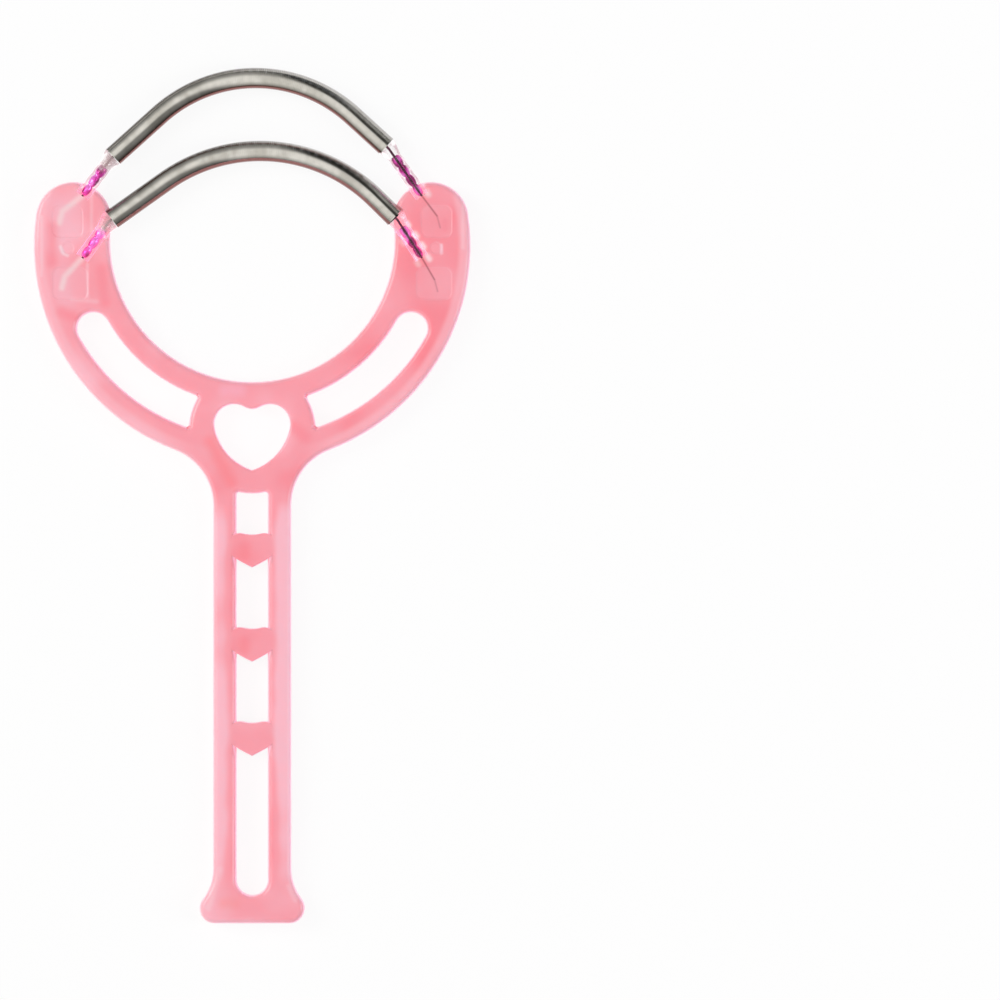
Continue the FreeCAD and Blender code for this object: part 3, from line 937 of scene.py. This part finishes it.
def make_ferrule(level, side):
    """Split sheet ferrule with round beads, its seam in front on the right side, where the wire shows."""
    bow = bows[level]
    mouth, kink = wire_corners(bow, side)[2:4]
    beads = bow[side]["beads"]
    foot = mouth + (kink - mouth).normalized() * ferrule_start
    fullness = 0.6
    outline = []
    for i in range(beads * bead_steps + 1):
        share = i / (beads * bead_steps)
        swell = math.sin(math.pi * (i % bead_steps) / bead_steps) ** fullness
        bead_r = ferrule_mouth_r + (ferrule_r - ferrule_mouth_r) * share
        outline.append((bead_r - ferrule_pinch * (1 - swell), beads * bead_pitch * share))
    seam_middle = 90 if side == "right" else -90
    name = f"{level}_{side}_beads"
    mesh = lathe_mesh(name, outline, foot, kink, 360 - seam_deg, seam_middle + seam_deg / 2, ferrule_wall)
    add_piece(name, mesh, magenta_metal, f"{level}_{side}_ferrule")


def make_sleeve(level, side):
    """Clear sleeve over the ferrule, swollen over each bead, with a tapered neck at the coil's end."""
    bow = bows[level]
    mouth, kink, coil_end = wire_corners(bow, side)[2:5]
    root_len = bow[side]["root_len"]
    neck_start = root_len - sleeve_neck_len
    count = round(neck_start / bead_pitch) * swell_steps
    outline = []
    for i in range(count + 1):
        swell = math.sin(math.pi * (i % swell_steps) / swell_steps)
        outline.append((sleeve_r - sleeve_bulge * (1 - swell), neck_start * i / count))
    outline.append((sleeve_top_r, root_len + coil_start / 2))
    name = f"{level}_{side}_clear_tube"
    mesh = lathe_mesh(name, outline, mouth, kink, 360, 0, sleeve_wall)
    along = (kink - mouth).normalized()
    leg = (coil_end - kink).normalized()
    for vertex in mesh.vertices:
        point = vertex.co / MM
        if (point - kink).dot(along) > 0:
            vertex.co += along * ((coil_end - point).dot(leg) / along.dot(leg)) * MM
    add_piece(name, mesh, clear_sleeve, f"{level}_{side}_sleeve")


pink_plastic = make_pink_plastic()
spring_steel = make_steel("spring steel", (198, 194, 184), (224, 220, 211), 0.1, 0.18, 1.0)
# The core wire's dark purplish tones are painted shade and a painted magenta reflection, as it looks inside
# the ferrules' seams
core_steel = make_steel("core wire steel", (60, 14, 44), (92, 34, 70), 0.25, 0.35, 0.0)
magenta_metal = make_magenta_metal()
clear_sleeve = make_clear_sleeve()

for level in bows:
    make_coil(level)
    make_core_wire(level)
make_frame_body()

for level in bows:
    for side in sides:
        make_ferrule(level, side)
        make_sleeve(level, side)


# Floor, lamps, world and camera


def make_floor():
    """White floor that looks evenly lit to the camera and in reflections, and takes soft shadows."""
    half_size = 3.0
    glow_share = 0.9
    mesh = bpy.data.meshes.new("floor")
    sheet = bmesh.new()
    bmesh.ops.create_grid(sheet, x_segments=1, y_segments=1, size=half_size)
    sheet.to_mesh(mesh)
    sheet.free()
    floor = bpy.data.objects.new("floor", mesh)
    bpy.context.scene.collection.objects.link(floor)
    material, nodes, links, shader = new_material("white paper floor")
    shader.inputs["Base Color"].default_value = (0.9, 0.9, 0.9, 1)
    shader.inputs["Roughness"].default_value = 0.9
    shader.inputs["Specular IOR Level"].default_value = 0.0
    glow = nodes.new("ShaderNodeEmission")
    rays = nodes.new("ShaderNodeLightPath").outputs
    kinds = ("Is Camera Ray", "Is Glossy Ray", "Is Transmission Ray")
    seen = strongest(nodes, links, [rays[kind] for kind in kinds])
    mixed = nodes.new("ShaderNodeMixShader")
    links.new(times(nodes, links, seen, glow_share), mixed.inputs["Fac"])
    links.new(shader.outputs["BSDF"], mixed.inputs[1])
    links.new(glow.outputs["Emission"], mixed.inputs[2])
    links.new(mixed.outputs["Shader"], nodes["Material Output"].inputs["Surface"])
    floor.data.materials.append(material)


def grey_stops(stops):
    return [(place, (level, level, level, 1.0)) for place, level in stops]


def make_world():
    """Studio with a bright left side, a dark gap in the ceiling to the right, and a dimmer horizon."""
    world = bpy.data.worlds.new("studio")
    world.use_nodes = True
    bpy.context.scene.world = world
    nodes = world.node_tree.nodes
    links = world.node_tree.links
    direction = split(nodes, links, nodes.new("ShaderNodeTexCoord").outputs["Generated"])
    across = nodes.new("ShaderNodeMapRange")
    across.inputs["From Min"].default_value = -1.0
    links.new(direction["X"], across.inputs["Value"])
    far_side = ramp_node(nodes, grey_stops([(0.52, 1.0), (0.6, 0.06), (0.72, 0.06), (0.79, 0.9)]))
    near_side = ramp_node(nodes, grey_stops([(0.52, 1.0), (0.64, 0.26)]))
    for tones in (far_side, near_side):
        links.new(across.outputs["Result"], tones.inputs["Fac"])
    depth = nodes.new("ShaderNodeMapRange")
    depth.inputs["From Min"].default_value = -0.25
    depth.inputs["From Max"].default_value = 0.25
    links.new(direction["Y"], depth.inputs["Value"])
    inward = depth.outputs["Result"]
    light = tint(nodes, links, inward, near_side.outputs["Color"], far_side.outputs["Color"])
    height = nodes.new("ShaderNodeMapRange")
    height.inputs["From Max"].default_value = 0.8
    height.inputs["To Min"].default_value = 0.25
    links.new(direction["Z"], height.inputs["Value"])
    far = fade(nodes, links, direction["Y"], 0.2, 0.8, 1.0, 0.5)
    background = nodes["Background"]
    links.new(light, background.inputs["Color"])
    links.new(times(nodes, links, height.outputs["Result"], far), background.inputs["Strength"])


def add_lamp(name, place, size, power, colour):
    light = bpy.data.lights.new(name, "AREA")
    light.shape = "RECTANGLE"
    light.size = size[0]
    light.size_y = size[1]
    light.energy = power
    light.color = colour
    lamp = bpy.data.objects.new(name, light)
    lamp.location = place
    aim = Vector((0, 0, 0)) - Vector(place)
    lamp.rotation_euler = aim.to_track_quat("-Z", "Y").to_euler()
    bpy.context.scene.collection.objects.link(lamp)


def make_camera():
    """Long lens straight above, with the tool at its place in the photograph, at 0.2 mm to the pixel."""
    across = 0.2
    distance = 2.2
    aside = (0.0496, -0.0010)
    data = bpy.data.cameras.new("camera")
    data.sensor_width = 36.0
    data.lens = data.sensor_width * distance / across
    data.clip_end = 20.0
    camera = bpy.data.objects.new("camera", data)
    camera.location = (*aside, distance + plate_t * MM)
    bpy.context.scene.collection.objects.link(camera)
    bpy.context.scene.camera = camera


make_floor()
make_world()
add_lamp("left lamp", (-0.9, 0.35, 0.9), (0.4, 0.8), 7.0, (1.0, 0.97, 0.94))
add_lamp("right lamp", (0.9, -0.1, 0.7), (0.3, 0.8), 4.5, (0.96, 0.94, 1.0))
make_camera()

bpy.context.scene.view_settings.view_transform = "Standard"
